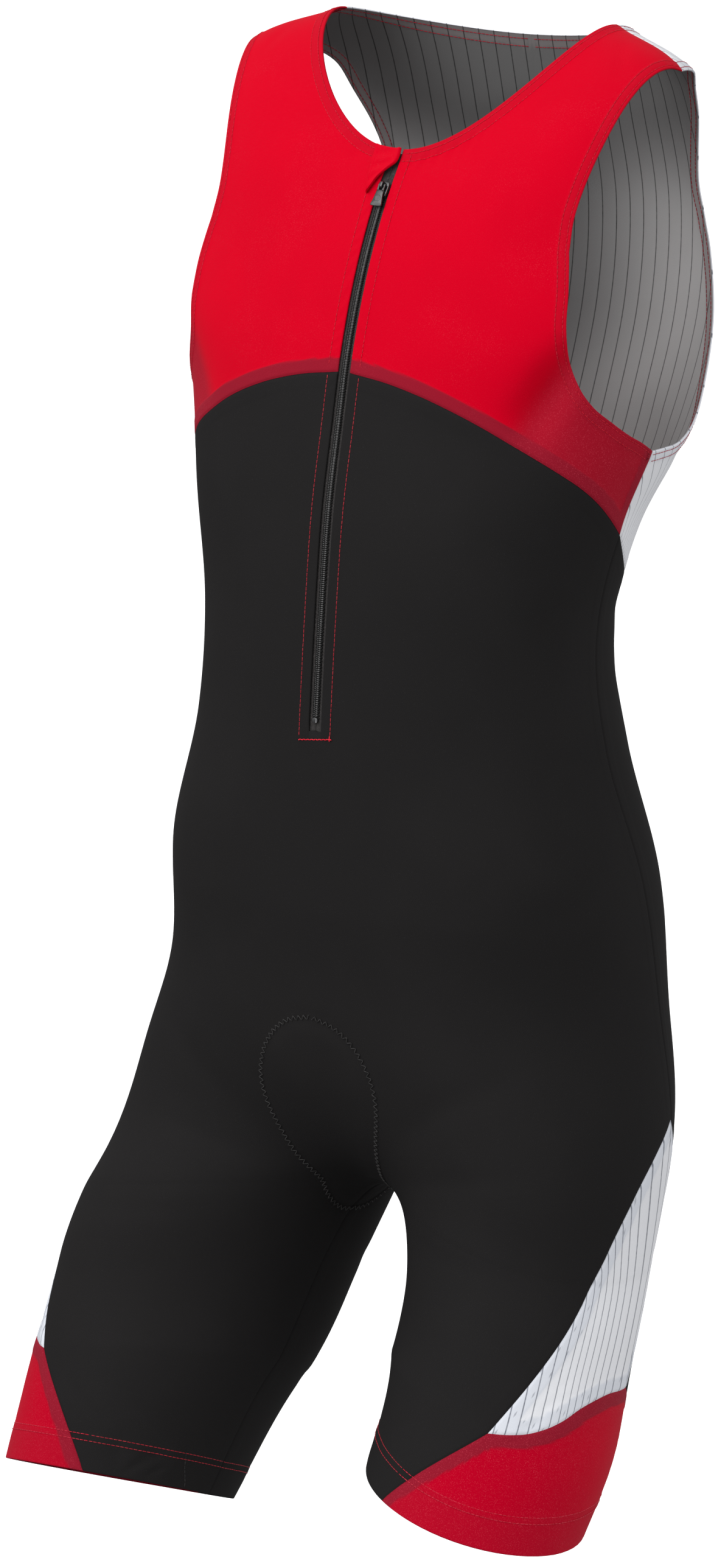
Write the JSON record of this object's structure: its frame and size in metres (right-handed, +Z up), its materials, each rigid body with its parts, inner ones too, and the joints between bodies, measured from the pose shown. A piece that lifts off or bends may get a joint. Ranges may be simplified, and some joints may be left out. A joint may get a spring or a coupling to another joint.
{
  "type": "triathlon suit",
  "caption": "Sleeveless one-piece triathlon suit with a front zip, short legs, contrast yoke and striped back, filled out as when worn.",
  "frame": {"origin": "between the shoulders at the height of the tops of the straps, where the wearer's shoulders hold the suit up", "axes": "+Z up, the front of the suit faces -Y, the wearer's left is +X"},
  "size_m": [0.4138, 0.2956, 0.9776],
  "materials": {
    "red_knit": "smooth stretch knit with a slight sheen",
    "black_knit": "matt stretch knit",
    "white_pinstripe_knit": "smooth stretch knit with fine dark lengthwise pinstripes",
    "zip_tape": "woven tape",
    "zip_coil": "satin monofilament coil",
    "zip_lacquer": "dark glossy lacquer"
  },
  "bodies": {
    "suit": {"front_yoke_left": "red_knit", "front_yoke_right": "red_knit", "front_body": "black_knit", "back_yoke": "white_pinstripe_knit", "back_body": "black_knit", "thigh_panel_left": "white_pinstripe_knit", "thigh_panel_right": "white_pinstripe_knit", "cuff_left": "red_knit", "cuff_right": "red_knit", "zip_garage": "red_knit", "zip_tape_left": "zip_tape", "zip_tape_right": "zip_tape", "zip_teeth": "zip_coil", "zip_stop": "zip_lacquer", "zip_slider": "zip_lacquer"},
    "pull_tab": {"zip_pull": "zip_lacquer"}
  },
  "joints": [
    {"name": "pull_hinge", "type": "hinge", "parent": "suit", "child": "pull_tab", "pos_m": [0, -0.08514, -0.10185], "axis": [-1, 0, 0], "range_deg": [0, 165]}
  ]
}
